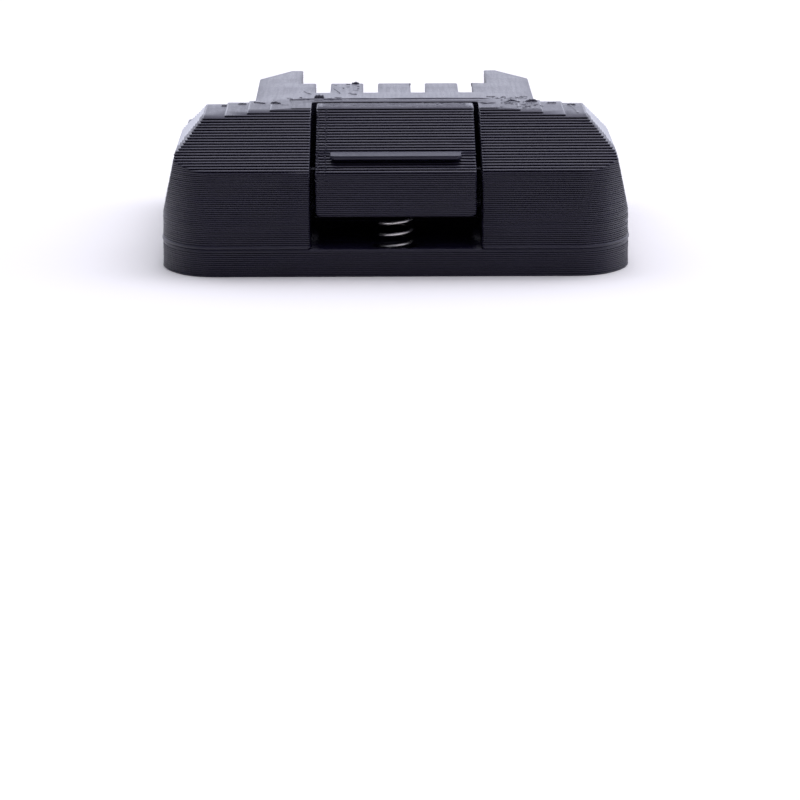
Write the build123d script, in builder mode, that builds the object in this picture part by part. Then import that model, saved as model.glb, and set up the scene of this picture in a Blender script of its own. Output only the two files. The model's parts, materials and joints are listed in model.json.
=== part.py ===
from build123d import *
import math
import os

os.makedirs("parts", exist_ok=True)

# Sizes in mm. The front is -Y, and depths are counted from the front face towards the back.

# Outline seen from above
body_width = 71.9
body_length = 80.0
front_corner_width = 8.7
front_corner_depth = 11.7
front_corner_share = 0.8
rear_corner_radius = 14.0
base_thickness = 4.2
print_wall = 2.0
cut_overrun = 1.0

# Head
front_wall_height = 11.7
slope_depth = 17.5
slope_rise = 6.0
lean_start = 4.0
side_lean = 2.15
facet_lift = 2.1
shoulder_flat = 1.5
crown_rise = 1.2
crown_flat_width = 29.0
crown_rear_slope = 2.1
head_depth = 33.6

# Rail block that the tool slides over
rail_width = 44.4
rail_height = 8.4
rail_drop = 0.6
rail_flange = 3.9
rail_groove = 3.0
rail_overlap = 3.6
terminal_length = 20.1
ear_length = 16.5
ear_gap = 29.9
ear_chamfer_length = 10.9
ear_chamfer_width = 5.1
slot_count = 4
slot_pitch = 7.66
slot_width = 2.1
slot_length = 11.4

# Deck and the battery channel below it
deck_thickness = 2.4
side_wall = 7.95
channel_lip = 4.0

# Latch and its bay
bay_width = 25.8
bay_wall = 2.4
latch_width = 24.5
latch_rear_gap = 0.9
latch_strip_depth = 5.8
latch_set_back = 0.15
latch_drop = 0.2
latch_travel = 4.0
landing_gap = 1.0
latch_corner = 0.5
ledge_width = 20.0
ledge_depth = 2.4
ledge_height = 0.6
ledge_overhang = 0.98
ledge_end_taper = 0.6
partition = 1.9
stop_gap = 0.1
slide_gap = 0.5

# Guide ribs at the latch's sides
rib_reach = 1.0
rib_width = 2.4
rib_height = 5.8
rib_depth = 9.0
groove_gap = 0.4

# Catch: a bar across the latch, two arms and a lug on each
bar_depth = 20.0
bar_width = 6.0
arm_thickness = 2.4
arm_width = 4.6
arm_margin = 0.05
arm_clear = 0.9
lug_length = 4.0
lug_rise = 3.2
lug_ramp = 2.7
lug_ramp_length = 3.0

# Latch spring
spring_diameter = 5.4
wire_diameter = 0.5
spring_depth = 4.2
spring_seat = 1.2
spring_room = 1.0
pocket_height = 6.0
bend_rise = 0.55
quarter_turns = 23
bend_share = 1 / 3

# Contact clips for the tool's blades
sheet_thickness = 0.5
clip_width = 3.5
clip_height = 8.6
clip_straight = 2.7
clip_pinch = 5.3
clip_flare = 2.4
clip_contact_gap = 0.9
clip_mouth = 2.4
pocket_width = 4.0
pocket_length = 11.2
pocket_start = 38.4
pocket_roof = 2.0
fit_gap = 0.1

# Retainer below the clips
retainer_thickness = 2.0
retainer_width = 41.0
retainer_start = 41.0
retainer_length = 10.4

# Carrier and the blades for the battery
carrier_width = 43.0
carrier_length = 5.0
carrier_gap = 0.2
blade_thickness = 0.8
blade_height = 4.3
blade_length = 12.0
blade_inset = 0.6
blade_tip = 1.2
blade_flange = 4.0
blade_pitch = 8.4

# Wires
power_wire_diameter = 2.8
sense_wire_diameter = 1.7
wire_loop_depth = 33.6
wire_rise = 7.4
solder_length = 0.8
solder_flare = 0.3
bend_size_share = 0.45

# Screws and inserts
housing_screw_diameter = 3.0
housing_screw_length = 6.5
housing_head_diameter = 5.6
housing_head_height = 2.0
head_room = 0.3
hex_across = 2.0
hex_depth = 1.2
insert_diameter = 4.2
insert_length = 4.5
insert_groove = 0.3
boss_diameter = 8.0
screw_hole_depth = 6.6
front_screw_inset = 8.45
front_screw_depth = 9.5
rear_screw_margin = 14.0
thread_gap = 0.03
small_screw_diameter = 2.2
small_head_diameter = 4.0
small_head_height = 1.1
carrier_screw_bite = 4.6
retainer_screw_bite = 3.6
retainer_screw_margin = 2.9
slot_drive_width = 0.6
slot_drive_depth = 0.5

# Pocket in the underside that the battery's own latch rises into
strike_width = 16.0
strike_length = 5.0
strike_height = 2.4
strike_depth = 34.0

# Heights and half widths that follow
front_top = base_thickness + front_wall_height
facet_foot = front_top + facet_lift
shoulder = front_top + slope_rise
top = shoulder + crown_rise
facet_size = shoulder - facet_foot
rail_top = top - rail_drop
deck_top = rail_top - rail_height
deck_under = deck_top - deck_thickness
half_width = body_width / 2
half_length = body_length / 2
facet_foot_half = half_width - side_lean
shoulder_half = facet_foot_half - facet_size
slope_top_depth = slope_depth * (top - front_top) / slope_rise
bay_depth = slope_top_depth + latch_strip_depth + latch_rear_gap
latch_gap = latch_travel + landing_gap
latch_bottom = base_thickness + latch_gap
neck_width = rail_width - 2 * rail_groove
channel_width = body_width - 2 * side_wall
throat_width = channel_width - 2 * channel_lip
front_screw_spread = body_width - 2 * front_screw_inset
rear_screw_spread = body_width - side_wall
rear_screw_depth = body_length - rear_screw_margin
service_width = max(carrier_width, retainer_width)
small_screw_spread = 2 * slot_pitch
carrier_top = deck_under - retainer_thickness
carrier_rear = retainer_start + carrier_length


def at_depth(depth):
    return depth - half_length


def slope_height(depth):
    return front_top + slope_rise * depth / slope_depth


def side_by_side(spread):
    return Locations((-spread / 2, 0), (spread / 2, 0))


def at_housing_screws():
    return Locations(
        (-front_screw_spread / 2, at_depth(front_screw_depth)),
        (front_screw_spread / 2, at_depth(front_screw_depth)),
        (-rear_screw_spread / 2, at_depth(rear_screw_depth)),
        (rear_screw_spread / 2, at_depth(rear_screw_depth)),
    )


# A front corner is two arcs that meet in line: a tight one in front, a wide one at the side
tight_radius = front_corner_width * front_corner_share
wide_radius = (
    front_corner_width**2 + front_corner_depth**2 - 2 * front_corner_depth * tight_radius
) / (2 * (front_corner_width - tight_radius))
tight_centre = Vector(half_width - front_corner_width, at_depth(tight_radius))
wide_centre = Vector(half_width - wide_radius, at_depth(front_corner_depth))
corner_middle = wide_centre + (tight_centre - wide_centre).normalized() * wide_radius

# Outline of the whole body, seen from above
with BuildSketch() as body_outline:
    with BuildLine():
        tight_arc = TangentArc(
            (half_width - front_corner_width, at_depth(0)),
            corner_middle,
            tangent=(1, 0),
        )
        wide_arc = TangentArc(
            corner_middle,
            (half_width, at_depth(front_corner_depth)),
            tangent=tight_arc % 1,
        )
        rear_corner = CenterArc(
            (half_width - rear_corner_radius, half_length - rear_corner_radius),
            rear_corner_radius,
            0,
            90,
        )
        Line((0, at_depth(0)), tight_arc @ 0)
        Line(wide_arc @ 1, rear_corner @ 0)
        Line(rear_corner @ 1, (0, half_length))
        mirror(about=Plane.YZ)
    make_face()

# Outline of the head, seen from the front: leaning sides, two facets and the crown
with BuildSketch() as head_front_view:
    with BuildLine():
        Polyline(
            (0, base_thickness - print_wall - cut_overrun),
            (half_width, base_thickness - print_wall - cut_overrun),
            (half_width, base_thickness + lean_start),
            (facet_foot_half, facet_foot),
            (shoulder_half, shoulder),
            (shoulder_half - shoulder_flat, shoulder),
            (crown_flat_width / 2, top),
            (0, top),
        )
        mirror(about=Plane.YZ)
    make_face()

# Outline of the head, seen from the side: front wall, slope and a short slope at the rear
with BuildSketch() as head_side_view:
    with BuildLine():
        Polyline(
            (at_depth(0), base_thickness - print_wall - cut_overrun),
            (at_depth(0), front_top),
            (at_depth(slope_top_depth), top),
            (at_depth(head_depth - crown_rear_slope), top),
            (at_depth(head_depth), shoulder),
            (at_depth(head_depth), base_thickness - print_wall - cut_overrun),
            close=True,
        )
    make_face()

# Hollow of the head, a wall's thickness inside its outline
with BuildPart() as head_hollow:
    with BuildSketch(Plane.XY.offset(base_thickness - cut_overrun)):
        add(body_outline.sketch)
        offset(amount=-print_wall)
    extrude(amount=top)
    with BuildSketch(Plane.XZ):
        add(head_front_view.sketch)
        offset(amount=-print_wall)
    extrude(amount=body_length, both=True, mode=Mode.INTERSECT)
    with BuildSketch(Plane.YZ):
        add(head_side_view.sketch)
        offset(amount=-print_wall)
    extrude(amount=body_width, both=True, mode=Mode.INTERSECT)
    with BuildSketch(Plane.XY):
        with Locations((0, at_depth(0))):
            Rectangle(
                bay_width + 2 * bay_wall,
                2 * (bay_depth + partition),
            )
        with Locations((0, at_depth(front_screw_depth))):
            with side_by_side(front_screw_spread):
                Circle(boss_diameter / 2)
    extrude(amount=2 * top, mode=Mode.SUBTRACT)
    with BuildSketch(Plane.XY):
        with Locations((0, at_depth(head_depth))):
            Rectangle(
                bay_width + 2 * bay_wall,
                2 * (head_depth - bay_depth) + cut_overrun,
            )
    extrude(amount=2 * top, mode=Mode.SUBTRACT)

# Upper housing
arm_outer = channel_width / 2 - arm_margin
arm_inner = arm_outer - arm_width
arm_end = head_depth + arm_clear + lug_length
lug_window_end = arm_end + groove_gap
rail_start = head_depth - rail_overlap
terminal_end = head_depth + terminal_length
ear_end = terminal_end + ear_length
slot_start = terminal_end - slot_length
neck_hollow_width = neck_width - 2 * print_wall
channel_stop = carrier_rear

with BuildPart() as upper_housing:
    with BuildSketch(Plane.XY.offset(base_thickness)):
        add(body_outline.sketch)
    extrude(amount=top - base_thickness)
    with BuildSketch(Plane.XZ):
        add(head_front_view.sketch)
    extrude(amount=body_length, both=True, mode=Mode.INTERSECT)
    with BuildSketch(Plane.YZ):
        with BuildLine():
            Polyline(
                (at_depth(0), base_thickness),
                (at_depth(0), front_top),
                (at_depth(slope_top_depth), top),
                (at_depth(head_depth - crown_rear_slope), top),
                (at_depth(head_depth), shoulder),
                (at_depth(head_depth), deck_top),
                (at_depth(body_length), deck_top),
                (at_depth(body_length), base_thickness),
                close=True,
            )
        make_face()
    extrude(amount=body_width, both=True, mode=Mode.INTERSECT)
    # Rail block with its ears
    with BuildSketch(Plane.XY.offset(deck_top)):
        with BuildLine():
            Polyline(
                (0, at_depth(rail_start)),
                (rail_width / 2, at_depth(rail_start)),
                (rail_width / 2, at_depth(ear_end - ear_chamfer_length)),
                (rail_width / 2 - ear_chamfer_width, at_depth(ear_end)),
                (ear_gap / 2, at_depth(ear_end)),
                (ear_gap / 2, at_depth(terminal_end)),
                (0, at_depth(terminal_end)),
            )
            mirror(about=Plane.YZ)
        make_face()
    extrude(amount=rail_height)
    # Grooves for the tool's rails
    with BuildSketch(Plane.XY.offset(deck_top)):
        with Locations((0, at_depth((head_depth + body_length) / 2))):
            with side_by_side(rail_width + cut_overrun):
                Rectangle(2 * rail_groove + cut_overrun, body_length - head_depth)
    extrude(amount=rail_height - rail_flange, mode=Mode.SUBTRACT)
    # Hollow head
    add(head_hollow.part, mode=Mode.SUBTRACT)
    # Bay for the latch
    with BuildSketch(Plane.XY.offset(base_thickness)):
        with Locations((0, at_depth(0))):
            Rectangle(bay_width, 2 * bay_depth)
    extrude(amount=top, mode=Mode.SUBTRACT)
    # Grooves for the latch's guide ribs
    with BuildSketch(Plane.XY.offset(base_thickness)):
        with Locations((0, at_depth(rib_depth + rib_width / 2))):
            Rectangle(
                bay_width + 2 * (rib_reach + groove_gap),
                rib_width + 2 * groove_gap,
            )
    extrude(amount=latch_gap + rib_height + groove_gap, mode=Mode.SUBTRACT)
    # Way for the catch: across the bay's walls and back below the deck
    with BuildSketch(Plane.XY.offset(base_thickness)):
        with Locations((0, at_depth(bar_depth + bar_width / 2))):
            Rectangle(2 * (arm_outer + slide_gap), bar_width + 2 * slide_gap)
        with Locations((0, at_depth((bar_depth + lug_window_end) / 2))):
            with side_by_side(arm_outer + arm_inner):
                Rectangle(arm_width + 2 * slide_gap, lug_window_end - bar_depth)
    extrude(amount=deck_under - base_thickness, mode=Mode.SUBTRACT)
    # Windows in the deck that the lugs rise through
    with BuildSketch(Plane.XY.offset(base_thickness)):
        with Locations((0, at_depth(arm_end - lug_length / 2))):
            with side_by_side(arm_outer + arm_inner):
                Rectangle(arm_width + 2 * slide_gap, lug_length + 2 * groove_gap)
    extrude(amount=deck_top - base_thickness, mode=Mode.SUBTRACT)
    # Wiring space below the deck, up to the battery channel
    with BuildSketch(Plane.XY.offset(base_thickness)):
        with Locations((0, at_depth((bay_depth + partition + channel_stop) / 2))):
            Rectangle(
                service_width + 2 * fit_gap,
                channel_stop - bay_depth - partition + 2 * fit_gap,
            )
    extrude(amount=deck_under - base_thickness, mode=Mode.SUBTRACT)
    # Wiring space inside the rail block, in front of the contact pockets
    with BuildSketch(Plane.XY.offset(base_thickness)):
        with Locations((0, at_depth((rail_start + pocket_start) / 2))):
            Rectangle(neck_hollow_width, pocket_start - rail_start)
    extrude(amount=rail_top - print_wall - base_thickness, mode=Mode.SUBTRACT)
    # Battery channel, open at the rear
    with BuildSketch(Plane.XY.offset(base_thickness)):
        with Locations((0, at_depth((channel_stop + body_length + cut_overrun) / 2))):
            Rectangle(channel_width, body_length + cut_overrun - channel_stop)
    extrude(amount=deck_under - base_thickness, mode=Mode.SUBTRACT)
    # Contact pockets from below and the slots that open them to the top and the rear
    with BuildSketch(Plane.XY.offset(base_thickness)):
        with Locations((0, at_depth(pocket_start + pocket_length / 2))):
            with GridLocations(slot_pitch, 0, slot_count, 1):
                Rectangle(pocket_width, pocket_length + 2 * fit_gap)
    extrude(amount=rail_top - pocket_roof - base_thickness, mode=Mode.SUBTRACT)
    with BuildSketch(Plane.XY.offset(deck_top)):
        with Locations((0, at_depth(slot_start + (slot_length + cut_overrun) / 2))):
            with GridLocations(slot_pitch, 0, slot_count, 1):
                Rectangle(slot_width, slot_length + cut_overrun)
    extrude(amount=rail_height + cut_overrun, mode=Mode.SUBTRACT)
    # Holes for the inserts and the small screws
    with BuildSketch(Plane.XY.offset(base_thickness)):
        with at_housing_screws():
            Circle(insert_diameter / 2)
    extrude(amount=screw_hole_depth, mode=Mode.SUBTRACT)
    with BuildSketch(Plane.XY.offset(deck_under)):
        with Locations((0, at_depth(retainer_start + carrier_length / 2))):
            with side_by_side(small_screw_spread):
                Circle(small_screw_diameter / 2 + thread_gap)
    extrude(amount=carrier_screw_bite + fit_gap, mode=Mode.SUBTRACT)
    with BuildSketch(Plane.XY.offset(deck_under)):
        with Locations((0, at_depth(retainer_start + retainer_length - retainer_screw_margin))):
            with side_by_side(small_screw_spread):
                Circle(small_screw_diameter / 2 + thread_gap)
    extrude(amount=retainer_screw_bite + fit_gap, mode=Mode.SUBTRACT)
upper_housing.part.label = "upper_housing"
export_step(upper_housing.part, "parts/upper_housing.step")

# Base plate: closed in front, with two lips that hold the battery's rails
with BuildPart() as base_plate:
    with BuildSketch():
        add(body_outline.sketch)
        with Locations((0, at_depth((carrier_rear + body_length + cut_overrun) / 2))):
            Rectangle(
                throat_width,
                body_length + cut_overrun - carrier_rear,
                mode=Mode.SUBTRACT,
            )
    extrude(amount=base_thickness)
    with BuildSketch(Plane.XY.offset(base_thickness)):
        with Locations((0, at_depth(spring_depth))):
            Circle((spring_diameter + spring_room) / 2)
    extrude(amount=-spring_seat, mode=Mode.SUBTRACT)
    with BuildSketch():
        with Locations((0, at_depth(strike_depth + strike_length / 2))):
            Rectangle(strike_width, strike_length)
    extrude(amount=strike_height, mode=Mode.SUBTRACT)
    with BuildSketch():
        with at_housing_screws():
            Circle(housing_head_diameter / 2 + head_room)
    extrude(amount=housing_head_height + head_room, mode=Mode.SUBTRACT)
    with BuildSketch():
        with at_housing_screws():
            Circle(housing_screw_diameter / 2 + fit_gap)
    extrude(amount=base_thickness, mode=Mode.SUBTRACT)
base_plate.part.label = "base_plate"
export_step(base_plate.part, "parts/base_plate.step")

# Latch: sloped block with a thumb ledge, guide ribs, spring pocket and the catch
latch_rear = bay_depth - latch_rear_gap
ledge_top = slope_height(ledge_depth) - latch_drop + ledge_overhang + ledge_height
ledge_back = ledge_depth + (ledge_overhang + ledge_height) * slope_depth / slope_rise
arm_top = deck_under - stop_gap
arm_bottom = arm_top - arm_thickness
spring_bottom = base_thickness - spring_seat
spring_top = latch_bottom + pocket_height

with BuildPart() as latch_button:
    with BuildSketch(Plane.YZ):
        with BuildLine():
            Polyline(
                (at_depth(latch_set_back), latch_bottom),
                (at_depth(latch_set_back), slope_height(latch_set_back) - latch_drop),
                (at_depth(slope_top_depth), top - latch_drop),
                (at_depth(latch_rear), top - latch_drop),
                (at_depth(latch_rear), latch_bottom),
                close=True,
            )
        make_face()
    extrude(amount=latch_width / 2, both=True)
    latch_edges = latch_button.edges().filter_by(Axis.Y).group_by(Axis.Z)[0]
    fillet(latch_edges, latch_corner)
    # Thumb ledge that overhangs the slope, drawn in towards its ends
    with BuildSketch(Plane.XY.offset(ledge_top)):
        with BuildLine():
            Polyline(
                (0, at_depth(ledge_depth)),
                (ledge_width / 2 - ledge_end_taper, at_depth(ledge_depth)),
                (ledge_width / 2, at_depth(ledge_depth + ledge_end_taper)),
                (ledge_width / 2, at_depth(ledge_back)),
                (0, at_depth(ledge_back)),
            )
            mirror(about=Plane.YZ)
        make_face()
    extrude(amount=-ledge_height)
    # Guide ribs
    with BuildSketch(Plane.XY.offset(latch_bottom)):
        with Locations((0, at_depth(rib_depth + rib_width / 2))):
            Rectangle(bay_width + 2 * rib_reach, rib_width)
    extrude(amount=rib_height)
    # Bar, arms and lugs of the catch
    with BuildSketch(Plane.XY.offset(arm_bottom)):
        with Locations((0, at_depth(bar_depth + bar_width / 2))):
            Rectangle(2 * arm_outer, bar_width)
        with Locations((0, at_depth((bar_depth + arm_end) / 2))):
            with side_by_side(arm_outer + arm_inner):
                Rectangle(arm_width, arm_end - bar_depth)
    extrude(amount=arm_thickness)
    with BuildSketch(Plane.YZ.offset(arm_inner)):
        with BuildLine():
            Polyline(
                (at_depth(arm_end - lug_length), arm_bottom),
                (at_depth(arm_end - lug_length), deck_top + lug_rise),
                (at_depth(arm_end - lug_ramp_length), deck_top + lug_rise),
                (at_depth(arm_end), deck_top + lug_rise - lug_ramp),
                (at_depth(arm_end), arm_bottom),
                close=True,
            )
        make_face()
    lugs = extrude(amount=arm_width)
    mirror(lugs, about=Plane.YZ)
    # Pocket for the spring
    with BuildSketch(Plane.XY.offset(latch_bottom)):
        with Locations((0, at_depth(spring_depth))):
            Circle((spring_diameter + spring_room) / 2)
    extrude(amount=pocket_height, mode=Mode.SUBTRACT)
latch_button.part.label = "latch_button"
export_step(latch_button.part, "parts/latch_button.step")

# Latch spring: an even coil with a straight end, square to its seat, at each side
coil_radius = (spring_diameter - wire_diameter) / 2
coil_bottom = spring_bottom + wire_diameter + bend_rise
coil_top = spring_top - wire_diameter - bend_rise
coil_rise = (coil_top - coil_bottom) / quarter_turns
quarter = math.pi / 2


def coil_point(turned):
    angle = math.pi + turned * quarter
    return Vector(
        coil_radius * math.cos(angle),
        at_depth(spring_depth) + coil_radius * math.sin(angle),
        coil_bottom + coil_rise * turned,
    )


def coil_direction(turned):
    angle = math.pi + turned * quarter
    return Vector(
        -coil_radius * math.sin(angle) * quarter,
        coil_radius * math.cos(angle) * quarter,
        coil_rise,
    ).normalized()


def biarc_middle(start, start_way, end, end_way):
    reach = end - start
    ways = start_way + end_way
    turn = 2 * (1 - start_way.dot(end_way))
    along = reach.dot(ways)
    arm = (math.sqrt(along**2 + turn * reach.dot(reach)) - along) / turn
    return (start + start_way * arm + end - end_way * arm) * 0.5


def leg_point(turned, height):
    foot = coil_point(turned)
    return Vector(foot.X, foot.Y, height)


upright = Vector(0, 0, 1)
leg_start = leg_point(-bend_share, spring_bottom)
leg_end = leg_point(quarter_turns + bend_share, spring_top)
knots = [(leg_start + upright * wire_diameter, upright)]
for turned in range(quarter_turns + 1):
    knots.append((coil_point(turned), coil_direction(turned)))
knots.append((leg_end - upright * wire_diameter, upright))

with BuildPart() as latch_spring:
    with BuildLine() as coil_line:
        Line(leg_start, knots[0][0])
        for (start, start_way), (end, end_way) in zip(knots, knots[1:]):
            middle = biarc_middle(start, start_way, end, end_way)
            first = TangentArc(start, middle, tangent=start_way)
            TangentArc(middle, end, tangent=first % 1)
        Line(knots[-1][0], leg_end)
    with BuildSketch(Plane(origin=leg_start, z_dir=upright)):
        Circle(wire_diameter / 2)
    sweep(path=coil_line.line)
latch_spring.part.label = "latch_spring"
export_step(latch_spring.part, "parts/latch_spring.step")

# The least gap between neighbouring stretches of the wire, measured on points along it
sample_count = 1200
coil_wire = coil_line.wire()
wire_length = coil_wire.length
points = [coil_wire.position_at(i / sample_count) for i in range(sample_count + 1)]
step = wire_length / sample_count
apart = int(math.pi * coil_radius / step)
least = min(
    (points[i] - points[j]).length
    for i in range(0, len(points), 2)
    for j in range(i + apart, min(len(points), i + 3 * apart))
)
print(f"least gap of the spring to itself {least - wire_diameter:.3f} mm")

# Contact clips in the pockets: a bent strip whose two leaves pinch the tool's blade
clip_front = pocket_start + groove_gap
pinch_depth = clip_front + clip_straight + clip_pinch
mouth_depth = pinch_depth + clip_flare
clip_places = {
    "positive": -1.5 * slot_pitch,
    "sense_1": -0.5 * slot_pitch,
    "sense_2": 0.5 * slot_pitch,
    "negative": 1.5 * slot_pitch,
}
for role, place in clip_places.items():
    with BuildPart() as tool_contact:
        with BuildSketch(Plane((place, 0, deck_under + fit_gap))):
            with BuildLine():
                Polyline(
                    (0, at_depth(clip_front)),
                    (clip_width / 2, at_depth(clip_front)),
                    (clip_width / 2, at_depth(clip_front + clip_straight)),
                    (clip_contact_gap / 2 + sheet_thickness, at_depth(pinch_depth)),
                    (clip_mouth / 2 + sheet_thickness, at_depth(mouth_depth)),
                    (clip_mouth / 2, at_depth(mouth_depth)),
                    (clip_contact_gap / 2, at_depth(pinch_depth)),
                    (clip_width / 2 - sheet_thickness, at_depth(clip_front + clip_straight)),
                    (clip_width / 2 - sheet_thickness, at_depth(clip_front + sheet_thickness)),
                    (0, at_depth(clip_front + sheet_thickness)),
                )
                mirror(about=Plane.YZ)
            make_face()
        extrude(amount=clip_height)
    tool_contact.part.label = f"tool_contact_{role}"
    export_step(tool_contact.part, f"parts/tool_contact_{role}.step")

# Retainer that closes the pockets below the clips
carrier_screw_depth = retainer_start + carrier_length / 2
retainer_screw_depth = retainer_start + retainer_length - retainer_screw_margin
with BuildPart() as contact_retainer:
    with BuildSketch(Plane.XY.offset(carrier_top)):
        with Locations((0, at_depth(retainer_start + retainer_length / 2))):
            Rectangle(retainer_width, retainer_length)
        with Locations((0, at_depth(carrier_screw_depth))):
            with side_by_side(small_screw_spread):
                Circle(small_screw_diameter / 2 + fit_gap, mode=Mode.SUBTRACT)
    extrude(amount=retainer_thickness)
    with Locations(
        (-small_screw_spread / 2, at_depth(retainer_screw_depth), carrier_top),
        (small_screw_spread / 2, at_depth(retainer_screw_depth), carrier_top),
    ):
        Cylinder(
            small_screw_diameter / 2 + fit_gap,
            retainer_thickness,
            align=(Align.CENTER, Align.CENTER, Align.MIN),
            mode=Mode.SUBTRACT,
        )
        Cone(
            small_head_diameter / 2 + fit_gap,
            small_screw_diameter / 2 + fit_gap,
            small_head_height,
            align=(Align.CENTER, Align.CENTER, Align.MIN),
            mode=Mode.SUBTRACT,
        )
contact_retainer.part.label = "contact_retainer"
export_step(contact_retainer.part, "parts/contact_retainer.step")

# Carrier that holds the battery blades
carrier_bottom = base_thickness + carrier_gap
blade_bottom = carrier_bottom + blade_inset
blade_places = {
    "positive": (-1.5 * blade_pitch, 1),
    "sense_1": (-0.5 * blade_pitch, 1),
    "sense_2": (0.5 * blade_pitch, -1),
    "negative": (1.5 * blade_pitch, -1),
}
with BuildPart() as blade_carrier:
    with BuildSketch(Plane.XY.offset(carrier_bottom)):
        with Locations((0, at_depth(retainer_start + carrier_length / 2))):
            Rectangle(carrier_width, carrier_length)
    extrude(amount=carrier_top - carrier_bottom)
    with BuildSketch(Plane.XY.offset(blade_bottom - fit_gap)):
        for place, inward in blade_places.values():
            with Locations((place, at_depth(retainer_start + carrier_length / 2))):
                Rectangle(blade_thickness + 2 * fit_gap, carrier_length)
    extrude(amount=blade_height + 2 * fit_gap, mode=Mode.SUBTRACT)
    with Locations(
        (-small_screw_spread / 2, at_depth(carrier_screw_depth), carrier_bottom),
        (small_screw_spread / 2, at_depth(carrier_screw_depth), carrier_bottom),
    ):
        Cylinder(
            small_screw_diameter / 2 + fit_gap,
            carrier_top - carrier_bottom,
            align=(Align.CENTER, Align.CENTER, Align.MIN),
            mode=Mode.SUBTRACT,
        )
        Cone(
            small_head_diameter / 2 + fit_gap,
            small_screw_diameter / 2 + fit_gap,
            small_head_height,
            align=(Align.CENTER, Align.CENTER, Align.MIN),
            mode=Mode.SUBTRACT,
        )
blade_carrier.part.label = "blade_carrier"
export_step(blade_carrier.part, "parts/blade_carrier.step")

# Battery blades: flat, with a tip bevelled on both edges and a flange bent inward in front
blade_front = retainer_start - blade_thickness
for role, (place, inward) in blade_places.items():
    with BuildPart() as battery_blade:
        with BuildSketch(Plane((place, 0, blade_bottom))):
            with BuildLine():
                Polyline(
                    (-inward * blade_thickness / 2, at_depth(blade_front)),
                    (-inward * blade_thickness / 2, at_depth(carrier_rear + blade_length)),
                    (inward * blade_thickness / 2, at_depth(carrier_rear + blade_length)),
                    (inward * blade_thickness / 2, at_depth(retainer_start)),
                    (inward * (blade_flange - blade_thickness / 2), at_depth(retainer_start)),
                    (inward * (blade_flange - blade_thickness / 2), at_depth(blade_front)),
                    close=True,
                )
            make_face()
        extrude(amount=blade_height)
        tip_face = battery_blade.faces().sort_by(Axis.Y)[-1]
        tip_edges = tip_face.edges().filter_by(Axis.X)
        chamfer(tip_edges, blade_tip)
    battery_blade.part.label = f"battery_blade_{role}"
    export_step(battery_blade.part, f"parts/battery_blade_{role}.step")

# Wires: from the blade's flange forward, up into the rail block and back to the clip
wire_sizes = {
    "positive": power_wire_diameter,
    "sense_1": sense_wire_diameter,
    "sense_2": sense_wire_diameter,
    "negative": power_wire_diameter,
}
wire_height = blade_bottom + blade_height / 2
joints = []
for role, diameter in wire_sizes.items():
    place, inward = blade_places[role]
    flange_place = place + inward * (blade_flange - blade_thickness) / 2
    low_end = Vector(flange_place, at_depth(blade_front - solder_length), wire_height)
    high_end = Vector(
        clip_places[role],
        at_depth(clip_front - solder_length),
        wire_height + wire_rise,
    )
    route = [
        low_end,
        Vector(low_end.X, at_depth(wire_loop_depth), low_end.Z),
        Vector(high_end.X, at_depth(wire_loop_depth), high_end.Z),
        high_end,
    ]
    runs = [(end - start).length for start, end in zip(route, route[1:])]
    bends = [bend_size_share * min(pair) for pair in zip(runs, runs[1:])]
    print(f"wire_{role} bends at {bends[0]:.2f} and {bends[1]:.2f} mm")
    with BuildPart() as wire:
        with BuildLine() as wire_line:
            FilletPolyline(*route, radius=bends)
        with BuildSketch(Plane(origin=low_end, z_dir=wire_line.line % 0)):
            Circle(diameter / 2)
        sweep(path=wire_line.line)
    wire.part.label = f"wire_{role}"
    export_step(wire.part, f"parts/wire_{role}.step")
    joints.append((low_end, diameter))
    joints.append((high_end, diameter))

# Solder joints between the wires' ends and the blades and clips
with BuildPart() as solder_joints:
    for end, diameter in joints:
        with BuildSketch(Plane(origin=end, z_dir=(0, 1, 0))):
            Circle(diameter / 2)
        with BuildSketch(Plane(origin=end + Vector(0, solder_length, 0), z_dir=(0, 1, 0))):
            Circle(diameter / 2 + solder_flare)
        loft()
solder_joints.part.label = "solder_joints"
export_step(solder_joints.part, "parts/solder_joints.step")

# Brass inserts, each with a groove round its middle
insert_radius = insert_diameter / 2 - thread_gap
with BuildPart() as threaded_inserts:
    with BuildSketch(Plane.XY.offset(base_thickness)) as insert_plan:
        with at_housing_screws():
            Circle(insert_radius)
    extrude(amount=insert_length)
    with BuildSketch(Plane.XY.offset(base_thickness + insert_length / 3)):
        add(insert_plan.sketch)
        with at_housing_screws():
            Circle(insert_radius - insert_groove, mode=Mode.SUBTRACT)
    extrude(amount=insert_length / 3, mode=Mode.SUBTRACT)
    with BuildSketch(Plane.XY.offset(base_thickness)):
        with at_housing_screws():
            Circle(housing_screw_diameter / 2 + thread_gap)
    extrude(amount=insert_length, mode=Mode.SUBTRACT)
threaded_inserts.part.label = "threaded_inserts"
export_step(threaded_inserts.part, "parts/threaded_inserts.step")

# Housing screws, driven from below
head_floor = housing_head_height + head_room
with BuildPart() as housing_screws:
    with BuildSketch(Plane.XY.offset(head_room)):
        with at_housing_screws():
            Circle(housing_head_diameter / 2)
    extrude(amount=housing_head_height)
    with BuildSketch(Plane.XY.offset(head_floor)):
        with at_housing_screws():
            Circle(housing_screw_diameter / 2)
    extrude(amount=housing_screw_length)
    with BuildSketch(Plane.XY.offset(head_room)):
        with at_housing_screws():
            RegularPolygon(hex_across / 2, 6, major_radius=False)
    extrude(amount=hex_depth, mode=Mode.SUBTRACT)
housing_screws.part.label = "housing_screws"
export_step(housing_screws.part, "parts/housing_screws.step")


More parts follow.
